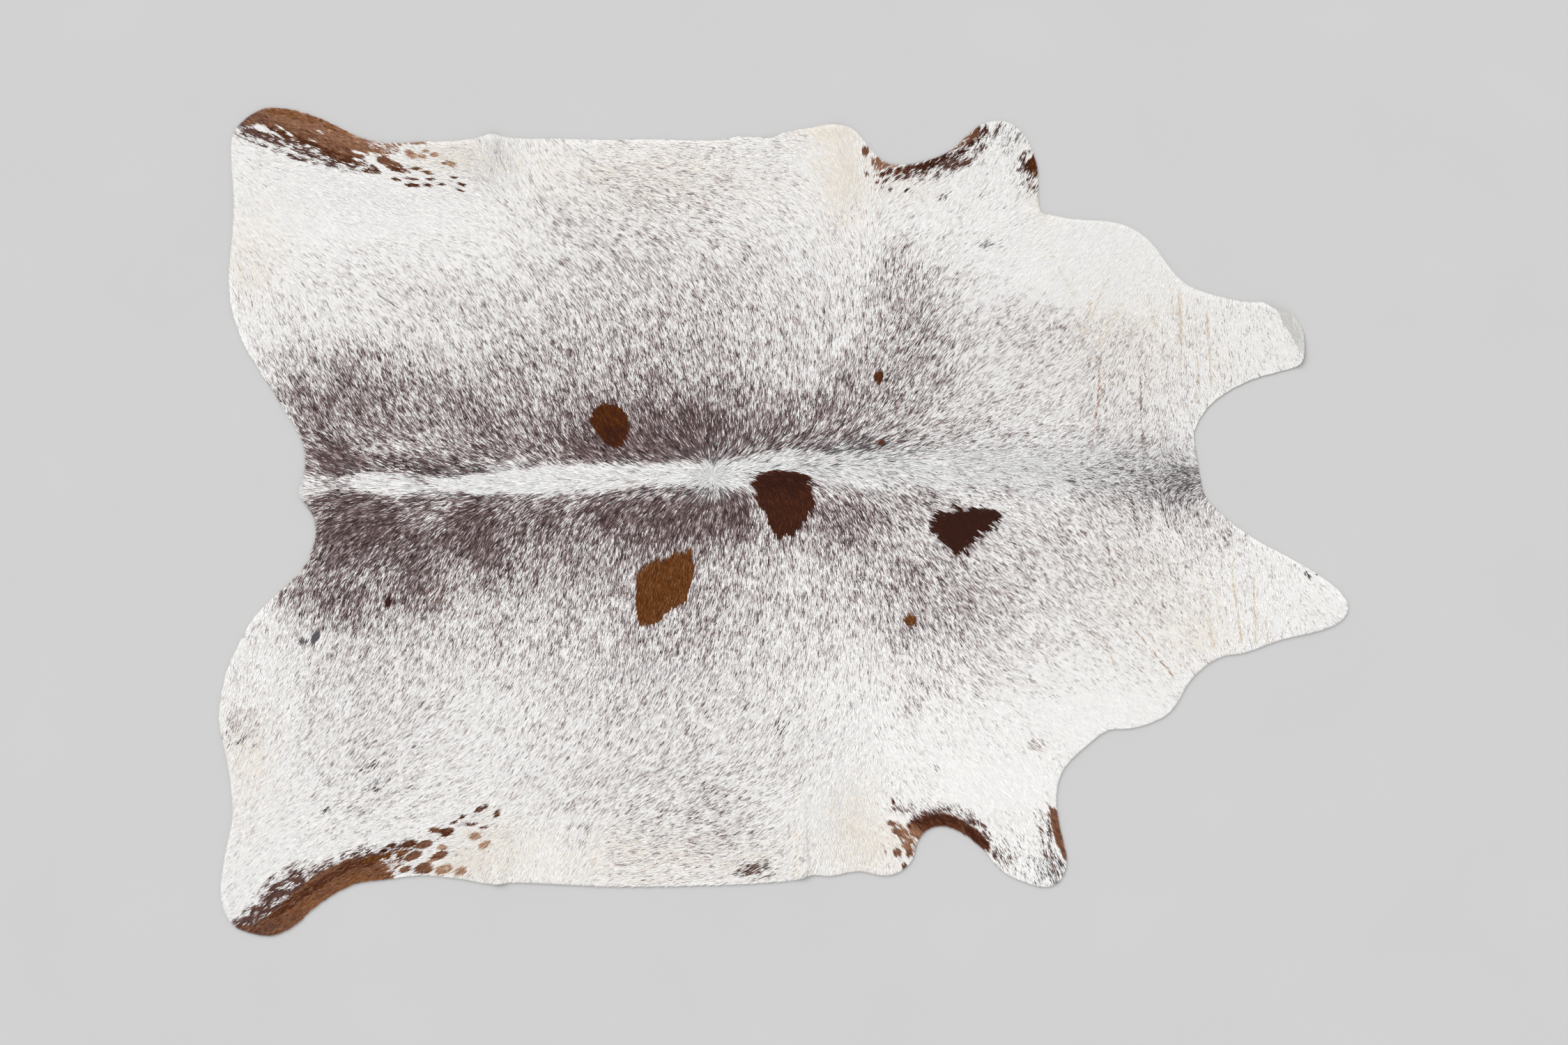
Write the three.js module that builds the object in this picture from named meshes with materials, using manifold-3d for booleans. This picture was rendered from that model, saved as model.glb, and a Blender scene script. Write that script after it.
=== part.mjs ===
// A cowhide rug: one whole tanned hide with its short coat left on, lying flat, hair side up.
// Millimetres, +Z up. The neck points along +X and the tail along -X. The underside rests on z = 0.
import * as THREE from 'three';
import { mergeVertices } from 'three/addons/utils/BufferGeometryUtils.js';
import Module from 'manifold-3d';

// Thickness of the leather with its flattened coat, and the fuller coat along the backbone
const COAT_TOP = 5.5;
const SPINE_RISE = 2.5;
const SPINE_HALF_WIDTH = 60;

// Steps of each raised patch along its run and across it
const RIDGE_STEPS = { along: 14, across: 8 };
const FOLD_STEPS = { along: 9, across: 8 };

// How many short straight edges stand for each stretch between two outline points
const EDGES_PER_STRETCH = 3;

// Room that a patch keeps beyond the outline, how tall the trimming prism stands, how far a
// patch's rim lies below the surface that it swells out of, and how deep its foot goes
const OVERRUN = 25;
const HEADROOM = 30;
const RIM_SINK = 0.05;
const FOOT_DEPTH = 4;

const COAT_COLOUR = 0xe4e2df;
const COAT_ROUGHNESS = 0.9;

// The cut edge, clockwise seen from above, from the tuft of the tail
const TAIL_EDGE_UPPER = [
  [-1031, 62], [-1022, 90], [-1018, 128], [-1022, 168], [-1063, 238], [-1109, 311],
  [-1151, 381], [-1172, 442], [-1180, 510], [-1170, 640], [-1169, 690], [-1175, 780],
];
const HIND_LEG_UPPER = [
  [-1170, 828], [-1145, 858], [-1108, 879], [-1080, 881], [-1030, 874], [-965, 851],
  [-902, 820], [-862, 808], [-795, 807], [-750, 810.5], [-700, 811],
];
const BELLY_UPPER = [
  [-655, 817], [-620, 825.5], [-584, 817], [-480, 815], [-400, 813], [-280, 815],
  [-170, 812], [-125, 814], [-100, 820], [-45, 819], [-26, 816.5], [0, 827],
  [35, 835], [62, 839], [82, 844], [112, 845.5], [145, 837], [165, 818],
  [190, 786], [220, 764], [255, 759.5], [300, 768],
];
const FRONT_LEG_UPPER = [
  [342, 783], [380, 814], [422, 845], [456, 853.5], [484, 847], [515, 818],
  [536, 767], [540, 735], [540, 690], [548, 658], [570, 652.5],
];
const SHOULDER_UPPER = [
  [620, 643], [690, 639], [738, 626], [782, 594], [816, 548], [850, 510],
  [890, 490], [980, 468],
];
const NECK_TAB_UPPER = [
  [1020, 466.5], [1048, 450], [1078, 443], [1104, 414], [1110, 372], [1102, 336],
  [1060, 320], [1000, 303], [945, 276], [905, 244], [881, 207],
];
const NECK_NOTCH = [[874, 182], [881, 138], [890, 86], [898, 58], [926, 24]];
const NECK_TAB_LOWER = [
  [1000, -33], [1080, -76], [1150, -119], [1188, -153], [1201, -185], [1184, -211],
  [1142, -230], [1060, -249], [978, -278], [940, -283], [903, -301],
];
const SHOULDER_LOWER = [
  [862, -340], [840, -379], [818, -407], [780, -427], [735, -439], [690, -442],
  [640, -479], [600, -518], [583, -555], [579, -604],
];
const FRONT_LEG_LOWER = [
  [592, -670], [602, -722], [588, -762], [560, -776], [512, -765], [462, -739],
  [424, -696], [380, -661], [340, -646], [306, -654], [284, -680], [274, -716],
  [254, -739], [218, -752],
];
const BELLY_LOWER = [
  [160, -742], [98, -752.5], [60, -750.5], [30, -760], [-80, -769.5], [-280, -775.5],
  [-400, -774], [-575, -766.5], [-620, -770.5], [-680, -760], [-768, -750.5],
];
const HIND_LEG_LOWER = [
  [-850, -760.5], [-896, -766], [-940, -783], [-1000, -822], [-1038, -858],
  [-1090, -880], [-1145, -871], [-1172, -857], [-1196, -806],
];
const TAIL_EDGE_LOWER = [
  [-1190, -722], [-1172, -632], [-1173, -585], [-1182, -515], [-1201, -420],
  [-1190, -333], [-1167, -273], [-1127, -200], [-1060, -135], [-1024, -100],
  [-1002, -58], [-995, -30], [-1001, 14], [-1022, 44],
];

// The line of the backbone, from the tail to the neck
const SPINE = [[-1040, 66], [-667, 80], [-158, 100], [335, 135], [669, 110], [900, 92]];

// Soft waves in the sheet: each runs from a point on the edge to a point inside, is highest
// along that line, and dies away at its inner end unless it is a crease from edge to edge
const FOLDS = [
  { from: [-620, 826], to: [-610, 730], halfWidth: 24, height: 7, creased: false },
  { from: [-26, 817], to: [-16, 735], halfWidth: 20, height: 6, creased: false },
  { from: [114, 845], to: [138, 590], halfWidth: 34, height: 4, creased: false },
  { from: [-604, -770], to: [-602, -690], halfWidth: 22, height: 6, creased: false },
  { from: [44, -754], to: [30, -440], halfWidth: 22, height: 5, creased: false },
  { from: [1043, 457], to: [1109, 347], halfWidth: 32, height: 7, creased: true },
];

// One at the middle of a wave, nothing at its foot, and level at both
function swell(distance) {
  return distance >= 1 ? 0 : 0.5 * (1 + Math.cos(Math.PI * distance));
}

function spineAt(x) {
  const last = SPINE.length - 2;
  const index = SPINE.findIndex(([end], i) => i > 0 && x <= end);
  const k = index < 0 ? last : index - 1;
  const [x0, y0] = SPINE[k];
  const [x1, y1] = SPINE[k + 1];
  return y0 + ((y1 - y0) * (x - x0)) / (x1 - x0);
}

// The prism under the outline, from one level to another
function outlinePrism(low, high) {
  const points = [
    TAIL_EDGE_UPPER, HIND_LEG_UPPER, BELLY_UPPER, FRONT_LEG_UPPER, SHOULDER_UPPER,
    NECK_TAB_UPPER, NECK_NOTCH, NECK_TAB_LOWER, SHOULDER_LOWER, FRONT_LEG_LOWER,
    BELLY_LOWER, HIND_LEG_LOWER, TAIL_EDGE_LOWER,
  ].flat().map(([x, y]) => new THREE.Vector3(x, y, 0));
  const edge = new THREE.CatmullRomCurve3(points, true, 'centripetal');
  const corners = edge.getPoints(points.length * EDGES_PER_STRETCH).slice(0, -1);
  const shape = new THREE.Shape(corners.map(({ x, y }) => new THREE.Vector2(x, y)));
  const settings = { depth: high - low, bevelEnabled: false };
  return new THREE.ExtrudeGeometry(shape, settings).translate(0, 0, low);
}

// A closed patch: a grid of points, each placed by its share along and across, with one height
// on its upper side and a level foot
function patch(steps, place, foot) {
  const positions = [];
  for (let row = 0; row <= steps.across; row += 1) {
    for (let column = 0; column <= steps.along; column += 1) {
      positions.push(...place(column / steps.along, (2 * row) / steps.across - 1));
    }
  }
  const width = steps.along + 1;
  const below = width * (steps.across + 1);
  for (let k = 0; k < below; k += 1) positions.push(positions[3 * k], positions[3 * k + 1], foot);
  const triangles = [];
  const quad = (a, b, c, d) => triangles.push(a, b, c, a, c, d);
  const wall = (a, b) => quad(a + below, b + below, b, a);
  for (let row = 0; row < steps.across; row += 1) {
    for (let column = 0; column < steps.along; column += 1) {
      const corner = row * width + column;
      const ring = [corner, corner + 1, corner + width + 1, corner + width];
      quad(...ring);
      quad(...ring.map((index) => index + below).reverse());
    }
    wall(row * width + steps.along, (row + 1) * width + steps.along);
    wall((row + 1) * width, row * width);
  }
  for (let column = 0; column < steps.along; column += 1) {
    wall(column, column + 1);
    wall(below - width + column + 1, below - width + column);
  }
  const geometry = new THREE.BufferGeometry();
  geometry.setAttribute('position', new THREE.Float32BufferAttribute(positions, 3));
  geometry.setIndex(triangles);
  return geometry;
}

// The fuller coat along the backbone, from beyond the tail edge to beyond the neck edge
function spineRidge() {
  const start = SPINE[0][0] - OVERRUN;
  const length = SPINE[SPINE.length - 1][0] + OVERRUN - start;
  const place = (along, across) => {
    const x = start + along * length;
    const height = SPINE_RISE * swell(Math.abs(across));
    return [x, spineAt(x) + across * SPINE_HALF_WIDTH, COAT_TOP + height - RIM_SINK];
  };
  return patch(RIDGE_STEPS, place, COAT_TOP - FOOT_DEPTH);
}

// One wave of the sheet, standing out of the given level
function foldPatch({ from, to, halfWidth, height, creased }, level) {
  const length = Math.hypot(to[0] - from[0], to[1] - from[1]);
  const run = [(to[0] - from[0]) / length, (to[1] - from[1]) / length];
  const reach = length + OVERRUN + (creased ? OVERRUN : 0);
  const place = (along, across) => {
    const u = along * reach - OVERRUN;
    const v = across * halfWidth;
    const fade = creased ? 1 : swell(Math.max(0, u) / length);
    const rise = height * fade * swell(Math.abs(across));
    return [
      from[0] + u * run[0] - v * run[1],
      from[1] + u * run[1] + v * run[0],
      level + rise - RIM_SINK,
    ];
  };
  return patch(FOLD_STEPS, place, level - FOOT_DEPTH);
}

function toSolid(wasm, geometry) {
  geometry.deleteAttribute('normal');
  geometry.deleteAttribute('uv');
  const merged = mergeVertices(geometry);
  return new wasm.Manifold(new wasm.Mesh({
    numProp: 3,
    vertProperties: Float32Array.from(merged.attributes.position.array),
    triVerts: Uint32Array.from(merged.index.array),
  }));
}

function toGeometry(solid) {
  const mesh = solid.getMesh();
  const geometry = new THREE.BufferGeometry();
  geometry.setAttribute('position', new THREE.BufferAttribute(mesh.vertProperties, 3));
  geometry.setIndex(new THREE.BufferAttribute(mesh.triVerts, 1));
  geometry.computeVertexNormals();
  return geometry;
}

// The flat sheet, with its ridge and waves joined on above and the waves' hollows cut below
function makeHide(wasm) {
  const flat = outlinePrism(0, COAT_TOP);
  flat.computeBoundingBox();
  const centre = flat.boundingBox.getCenter(new THREE.Vector3());
  const trim = toSolid(wasm, outlinePrism(-HEADROOM, HEADROOM));
  const raised = [spineRidge(), ...FOLDS.map((fold) => foldPatch(fold, COAT_TOP))];
  let hide = toSolid(wasm, flat);
  for (const geometry of raised) hide = hide.add(toSolid(wasm, geometry).intersect(trim));
  for (const fold of FOLDS) hide = hide.subtract(toSolid(wasm, foldPatch(fold, 0)));
  const material = new THREE.MeshStandardMaterial({
    color: COAT_COLOUR,
    roughness: COAT_ROUGHNESS,
    metalness: 0,
    flatShading: true,
  });
  const mesh = new THREE.Mesh(toGeometry(hide), material);
  mesh.name = 'hide';
  mesh.position.set(-centre.x, -centre.y, 0);
  return mesh;
}

const wasm = await Module();
wasm.setup();

const group = new THREE.Group();
group.add(makeHide(wasm));

export default group;
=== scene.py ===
import math

import bmesh
import bpy
import numpy as np
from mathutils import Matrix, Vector, bvhtree, geometry


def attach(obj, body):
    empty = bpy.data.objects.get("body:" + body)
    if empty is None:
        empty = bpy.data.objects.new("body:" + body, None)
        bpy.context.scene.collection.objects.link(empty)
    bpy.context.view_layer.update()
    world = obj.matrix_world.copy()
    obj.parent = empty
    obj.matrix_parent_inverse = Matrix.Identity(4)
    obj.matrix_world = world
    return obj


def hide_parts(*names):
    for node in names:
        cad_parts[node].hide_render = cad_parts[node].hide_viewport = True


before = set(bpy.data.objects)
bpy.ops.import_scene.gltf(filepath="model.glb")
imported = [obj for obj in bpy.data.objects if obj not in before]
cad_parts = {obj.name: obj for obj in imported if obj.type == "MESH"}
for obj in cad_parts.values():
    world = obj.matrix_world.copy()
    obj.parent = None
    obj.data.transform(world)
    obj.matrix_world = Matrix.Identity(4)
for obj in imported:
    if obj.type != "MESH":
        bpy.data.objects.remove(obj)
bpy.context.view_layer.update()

# A hair-on cowhide rug lying flat: a thin leather sheet and the short coat that grows on it.
# Places and lengths are in millimetres and angles in degrees, seen from above, with the middle
# of the hide at the origin and its neck towards +X.
MM = 0.001
SEED = 41

# Reading the solid: which corners are joined as doubled, how far down the normal of the
# underside points, how level that of the cut edge is, how far off the rays start that feel for
# both faces, in metres, how many steps their heights are carried on beyond the edge, and how
# high the coat's top is taken to be farther out
WELD = 1e-6
FACING_DOWN = -0.5
FACING_OUT = 0.3
RAY_START = 1.0
CARRIED_STEPS = 4
COAT_LIMIT = 5.6

# The raster on which heights, edge distance and hair direction are kept
FIELD_STEP = 5.0
FIELD_MARGIN = 30.0

# Leather: its thickness, how far its rim keeps inside the solid's, the step and the wobble of
# that rim, the step of the points within it, and how many of those steps they keep from it
LEATHER = 2.6
RIM_INSET = 1.6
RIM_STEP = 7.0
RIM_WOBBLE = 0.35
SKIN_STEP = 16.0
SKIN_CLEARANCE = 0.45
SAME_POINT = 1e-7

# Roots of the strands: the spacing of their triangular grid, the distance of its rows and how
# far a root strays, as shares of that, and how far inside the edge the outermost ones stand
ROOT_SPACING = 2.06
ROW_SHARE = 0.866
ROOT_STRAY = 0.45
ROOTS_WITHIN = 1.0

# A strand: its width as a share of its length, the limits of that, how width and length vary,
# how much narrower a lone dark hair is, its random turn and roll, how far its tip may pass the
# edge, the least that is left of it there, and where along it its colour is taken
WIDTH_SHARE = 0.14
WIDTH_LIMITS = (1.5, 2.3)
WIDTH_VARIES = (0.8, 1.25)
LENGTH_VARIES = (0.75, 1.2)
DARK_GIRTH = 0.62
DARK_POWER = 1.2
TURN = 7.0
ROLL = 0.10
OVERHANG = 2.2
SHORTEST = 0.15
SEEN_AT = 0.52

# Heights of the strands, as shares of the room over the leather: the lowest feet, how far the
# feet are spread upwards, and how much higher the tips lie. Close to the edge all lie lower
FOOT_LIFT = 0.08
LAYERS = 0.55
TIP_LIFT = (0.15, 0.40)
EDGE_REACH = 9.0
EDGE_SHARE = 0.4
LEAST_ROOM = 1.0

# Random streaks along the hair: step of their raster, size of the specks in steps, and reach
# of the combing. Then what weighs in a strand's rank, streaks first and its own chance last,
# and how much of a marking's ragged edge whole locks share
LOCKS = (2.5, 2.4, 5.0)
FINE_STREAKS = (1.5, 1.2, 4.5)
TUFT_WEIGHTS = (0.65, 0.7)
STREAK_WEIGHTS = (0.35, 0.26, 0.90)
STRAY_WEIGHT = 0.7

# Pieces of the coat, and their map: a column for each tone with a strand's shade across it,
# its margins and the width of one strand as shares of the column, and the heights of both ends
PIECES = ("coat_tail", "coat_haunch", "coat_belly", "coat_shoulder", "coat_neck")
BAKE_MAP = "OFBake"
COLUMN_MARGIN = 0.1
COLUMN_SWAY = 0.04
MAP_ENDS = (0.02, 0.98)

# Greys and colours of hair, leather and floor: places along a ramp with a grey, or a colour, for
# each
# The strands' greys are partly tone that differs at random, partly painted shade between strands
STRAND_TONE_AND_SHADE = [(0.1, 0.83), (0.45, 0.96), (0.9, 1.0)]
# Painted shade: each strand darker towards its root
ROOT_SHADE = [(0.0, 0.86), (0.3, 0.97), (1.0, 1.0)]
PORE_LIGHT = [(0.3, 0.84), (0.7, 1.0)]
NAP_LIGHT = [(0.25, 0.82), (0.75, 1.0)]
FLOOR_LIGHT = [(0.3, 0.525), (0.7, 0.534)]
SUEDE = [(0.30, (196, 180, 156)), (0.50, (214, 202, 182)), (0.72, (228, 219, 204))]
SKIN_PALE = (245, 243, 240)
SKIN_DARK = (96, 78, 78)

# Noise per metre, with its levels of detail, and the pores' bump: strength, height in metres
PORES = (900, 3)
NAP = (420, 2)
SUEDE_CLOUDS = (14, 6)
FLOOR_CLOUDS = (3, 2)
FLOOR_GRAIN = (40, 3)
PORE_BUMP = (0.35, 0.0004)

# The range of noise that shows, how far up the leather faces between flesh and grain side,
# ranges of roughness and levels of gloss
NOISE_RANGE = (0.3, 0.7)
GRAIN_RANGE = (0.2, 0.5)
HAIR_ROUGHNESS = (0.48, 0.66)
LEATHER_ROUGHNESS = (0.72, 0.92)
FLOOR_ROUGHNESS = (0.85, 0.95)
HAIR_GLOSS = 0.08
LEATHER_GLOSS = 0.25
FLOOR_GLOSS = 0.1

# Camera and floor, in metres, with the lens and its sensor in millimetres
FRAME_WIDTH = 3.3394
LENS = 100.0
SENSOR = 36.0
VIEW_CENTRE = (0.0007, -0.0015)
FAR_END = 100.0
FLOOR_DROP = 0.0006
FLOOR_SIZE = 16.0

# Light: brightness of the room and of the soft lamp, how wide the lamp is and how it leans
ROOM_LIGHT = 0.80
LAMP_LIGHT = 1.86
LAMP_WIDTH = 50
LAMP_LEAN = (-38, -28)

# The line of the backbone
SPINE = [(-1040, 66), (-667, 80), (-158, 100), (335, 135), (669, 110), (900, 92)]

# Hair on the backbone: it runs both ways from a whorl, turns back at the crest of the neck,
# and is parted between the two sides. How soon it turns at each place, and how it splays
WHORL = (-154, 93)
WHORL_SIZE = 16
WHORL_TURN = 25
CREST_X = 802
CREST_TURN = 20
PARTING = 55.0
PARTING_SPLAY = 0.25

# How close to a row of the next table its direction begins to hold alone
LAY_BLUR = 30.0

# Hair direction away from the backbone: x, y, degrees from +X towards +Y, root to tip
LAY = [
    (-1160, 840, 152), (-1150, 640, 134), (-1150, 450, 110), (-1000, 760, 165), (-1000, 600, 145),
    (-1030, 400, 116), (-980, 240, 118), (-980, 150, 143), (-850, 800, 158), (-850, 640, 160),
    (-840, 480, 138), (-830, 340, 111), (-820, 230, 124), (-830, 150, 155), (-700, 760, 174),
    (-700, 620, 160), (-690, 480, 124), (-650, 330, 120), (-650, 220, 115), (-650, 150, 146),
    (-590, 790, 100), (-540, 740, 122), (-520, 600, 132), (-540, 450, 124), (-450, 740, 145),
    (-420, 640, 142), (-440, 350, 107), (-440, 230, 110), (-440, 160, 125), (-330, 760, 176),
    (-330, 640, 150), (-330, 500, 124), (-280, 350, 103), (-260, 230, 108), (-250, 155, 125),
    (-150, 760, 178), (-150, 640, 158), (-150, 520, 122), (-140, 360, 100), (-130, 220, 95),
    (-120, 150, 90), (-20, 770, 176), (0, 660, 145), (0, 520, 122), (0, 350, 90), (0, 220, 90),
    (10, 160, 50), (90, 740, 140), (120, 600, 118), (110, 450, 98), (120, 300, 84),
    (130, 170, 55), (160, 720, 80), (180, 500, 84), (260, 740, 33), (260, 640, 44),
    (250, 520, 78), (250, 350, 62), (250, 180, 46), (370, 770, 40), (360, 640, 48),
    (360, 480, 50), (350, 330, 52), (370, 170, 26), (460, 800, 66), (500, 740, 62),
    (460, 600, 32), (470, 420, 42), (470, 250, 32), (560, 620, 26), (600, 480, 50),
    (600, 300, 40), (560, 150, 22), (700, 580, 44), (720, 430, 58), (700, 260, 66),
    (690, 150, 48), (780, 480, 66), (800, 300, 76), (860, 420, 88), (860, 270, 104),
    (960, 410, 98), (950, 300, 102), (1060, 390, 124), (-1150, -840, -140), (-1150, -700, -128),
    (-1150, -520, -120), (-1150, -330, -106), (-1040, -780, -145), (-1020, -640, -143),
    (-1020, -480, -126), (-1000, -330, -116), (-1000, -200, -106), (-980, -60, -128),
    (-960, 20, -150), (-880, -740, -154), (-850, -640, -154), (-860, -480, -132),
    (-850, -330, -120), (-850, -180, -108), (-830, -50, -132), (-830, 30, -160),
    (-720, -680, -164), (-720, -540, -148), (-700, -420, -134), (-700, -280, -108),
    (-690, -130, -112), (-660, -30, -120), (-680, 40, -160), (-620, -740, -120),
    (-600, -640, -150), (-540, -700, -96), (-540, -560, -130), (-540, -400, -118),
    (-520, -220, -104), (-520, -60, -108), (-500, 40, -132), (-450, -680, -120),
    (-400, -560, -132), (-400, -420, -118), (-350, -250, -100), (-350, -80, -100),
    (-350, 40, -122), (-330, -700, -172), (-280, -580, -146), (-250, -420, -118),
    (-220, -250, -106), (-220, -60, -100), (-240, 40, -118), (-170, -700, -174),
    (-140, -570, -150), (-120, -420, -124), (-100, -250, -102), (-100, -60, -96),
    (-130, 40, -100), (-50, -720, -158), (-30, -600, -148), (0, -450, -122), (20, -280, -100),
    (20, -80, -84), (70, -640, -112), (90, -480, -116), (90, -280, -98), (110, -80, -82),
    (140, 40, -64), (150, -700, -88), (170, -520, -104), (170, -300, -90), (220, -120, -74),
    (240, 50, -48), (230, -640, -52), (240, -480, -56), (250, -300, -72), (330, -620, -42),
    (340, -480, -52), (350, -280, -60), (330, -100, -50), (350, 50, -25), (450, -640, -58),
    (450, -500, -46), (460, -330, -38), (450, -120, -40), (460, 50, -26), (560, -720, -64),
    (560, -560, -52), (570, -380, -34), (570, -160, -44), (580, 50, -42), (660, -340, -44),
    (680, -180, -38), (700, 40, -46), (780, -330, -38), (780, -200, -50), (790, -60, -60),
    (860, -250, -58), (870, -100, -62), (860, 50, -76), (960, -180, -82), (960, -60, -74),
    (1050, -170, -84), (1150, -170, -40),
]

# How thickly dark hairs stand among the white: x, y, half length, half width, tilt where there
# is one, and share, which is below nothing where the coat is cleaner than around
ROAN = [
    (-560, 205, 590, 125, 0.37), (-965, 190, 100, 110, 0.26), (-215, 185, 160, 80, 0.52),
    (-385, 185, 70, 80, 0.40), (-660, 190, 60, 90, 0.24), (-900, 310, 170, 75, 0.34),
    (60, 190, 180, 90, 0.36), (200, 170, 110, 70, 0.20), (-250, 370, 430, 230, 0.165),
    (270, 420, 105, 140, 0.26), (240, 540, 60, 60, 0.10), (150, 310, 70, 60, 0.20),
    (-350, 650, 260, 100, 0.08), (340, 260, 120, 140, 0.14), (-330, 380, 110, 70, 0.10),
    (-1030, 300, 70, 110, 20, 0.12), (600, 100, 320, 280, 0.095), (800, 95, 160, 75, 0.16),
    (860, 95, 90, 26, 0.14), (-480, 5, 600, 85, 0.41), (-905, -5, 110, 110, 0.52),
    (-665, -25, 85, 75, 0.42), (-225, 10, 140, 80, 0.50), (-900, -80, 120, 70, 0.26),
    (-500, -100, 480, 80, 0.21), (-780, -130, 80, 70, 0.42), (-970, -160, 90, 70, 0.34),
    (-1040, -130, 60, 50, 0.20), (-400, -190, 620, 150, 0.18), (-230, -210, 130, 80, 0.14),
    (110, 0, 120, 80, 0.38), (230, 0, 160, 100, 0.11), (270, -150, 200, 100, 0.24),
    (360, -270, 160, 110, 0.12), (-250, -500, 330, 240, 0.12), (-150, -640, 80, 60, 0.08),
    (-870, -400, 160, 240, 0.10), (-1150, -440, 50, 50, 0.10), (520, -120, 320, 160, 0.085),
    (-830, 124, 150, 24, 0.42), (-950, 132, 45, 38, 0.60), (-945, -12, 45, 60, 0.40),
    (-872, 8, 40, 50, 0.46), (-660, 2, 48, 62, 0.38), (-95, 18, 45, 48, 0.55),
    (-380, 20, 60, 50, 0.35), (-850, 480, 280, 110, 0.05), (-400, 450, 500, 150, 0.04),
    (-1005, 150, 40, 110, 0.20), (-990, -80, 45, 60, 0.25), (-785, -30, 45, 50, 0.26),
    (-545, 10, 45, 35, 0.14), (-630, -100, 45, 50, 0.28), (-900, -180, 80, 45, 0.20),
    (245, 280, 70, 60, 0.14), (290, 50, 60, 40, 0.12), (870, 65, 110, 40, 0.18),
    (-400, 150, 260, 30, 0.28), (620, 375, 140, 80, 0.04), (-480, 350, 60, 60, 0.08),
    (700, 550, 170, 110, -0.08), (125, -600, 80, 150, -0.04), (-460, -690, 150, 70, -0.04),
    (-620, 570, 140, 70, -0.03), (450, -560, 130, 60, -0.02), (20, -620, 70, 60, -0.04),
    (-500, 5, 50, 35, 0.20), (-775, 45, 40, 25, 0.20), (250, 30, 140, 60, 0.10),
    (900, 0, 100, 60, 0.05), (-900, -220, 100, 60, 0.06), (-600, 355, 60, 50, 0.14),
    (-180, 330, 160, 80, 0.07), (-820, 205, 80, 40, 0.10), (-480, 205, 40, 40, 0.12),
    (60, 150, 180, 25, 0.12), (-720, 108, 70, 14, 0.42), (-60, -70, 80, 50, 0.08),
    (310, -100, 60, 40, 0.10), (-230, -310, 250, 60, 0.05), (-250, 500, 280, 100, 0.03),
    (-150, 720, 200, 50, 0.03), (-1010, 320, 60, 50, -0.12), (-850, 300, 110, 40, -0.08),
    (-650, 252, 40, 26, -0.10), (-400, 258, 40, 24, -0.12), (-860, 150, 45, 25, -0.12),
    (-865, -105, 80, 40, -0.22), (-690, -115, 50, 45, -0.18), (-1000, -120, 45, 50, -0.10),
    (-60, 8, 60, 26, -0.30), (50, -50, 35, 30, -0.12), (-250, 46, 170, 18, -0.08),
    (-150, 200, 170, 40, -0.07), (-735, 200, 60, 35, -0.10), (170, 235, 70, 40, -0.06),
    (430, 305, 50, 40, -0.07), (-775, 0, 30, 28, -0.14), (-620, 0, 35, 30, -0.12),
    (-240, -180, 50, 50, -0.10), (200, -180, 90, 30, -0.08), (115, 770, 75, 80, -0.06),
    (500, 420, 110, 60, 0.08), (125, 250, 40, 25, 0.05), (-820, 205, 60, 30, 0.06),
    (-990, 50, 40, 25, 0.24), (800, 60, 150, 60, 0.08), (910, -15, 70, 50, 0.07),
    (275, -375, 35, 50, 0.09), (-490, 300, 50, 30, -0.22), (-440, 250, 50, 25, -0.06),
    (130, 212, 80, 35, -0.07), (-855, -200, 40, 30, -0.12), (160, -190, 80, 60, -0.06),
    (-705, 200, 36, 25, 0.10), (-900, 660, 260, 90, -0.03), (690, -420, 120, 50, -0.05),
    (-850, 0, 30, 40, -0.10), (-250, 300, 35, 30, 0.12), (125, 300, 30, 25, 0.12),
    (140, 60, 50, 40, 0.10), (-250, 790, 350, 40, 0.02), (-20, 570, 110, 40, 0.02),
    (-520, 550, 70, 60, 0.02), (-240, 620, 110, 60, -0.03),
]
# Their least share, the fall of a patch at its edge, their depth as a power, and their most
ROAN_EVERYWHERE = 0.014
ROAN_FADE = 3.0
ROAN_DEPTH = 1.57
ROAN_MOST = 0.87

# White stripe down the back: x, middle, half width, how clear it is of dark hair
STRIPE = [
    (-1036, 60, 30, 0.80), (-1010, 74, 22, 0.60), (-975, 80, 17, 0.42),
    (-950, 80, 15, 0.24), (-928, 83, 16, 0.58), (-900, 86, 19, 0.86),
    (-860, 82, 23, 0.93), (-822, 78, 22, 0.90), (-796, 75, 14, 0.76),
    (-770, 73, 10, 0.60), (-740, 78, 12, 0.82), (-700, 79, 15, 0.90),
    (-655, 79, 20, 0.94), (-590, 84, 24, 0.96), (-520, 89, 28, 0.95),
    (-450, 92, 29, 0.94), (-380, 94, 30, 0.92), (-310, 100, 24, 0.88),
    (-240, 102, 25, 0.90), (-170, 99, 27, 0.90), (-100, 103, 31, 0.88),
    (-30, 122, 26, 0.62), (40, 126, 22, 0.60), (110, 110, 34, 0.56),
    (180, 106, 38, 0.52), (250, 112, 38, 0.42), (335, 112, 40, 0.46),
    (502, 116, 34, 0.42), (640, 112, 24, 0.15), (900, 92, 12, 0.0),
]
# Where it ends on either side and over how much it fades, in half widths
STRIPE_END = 1.25
STRIPE_FADE = 0.45

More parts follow.
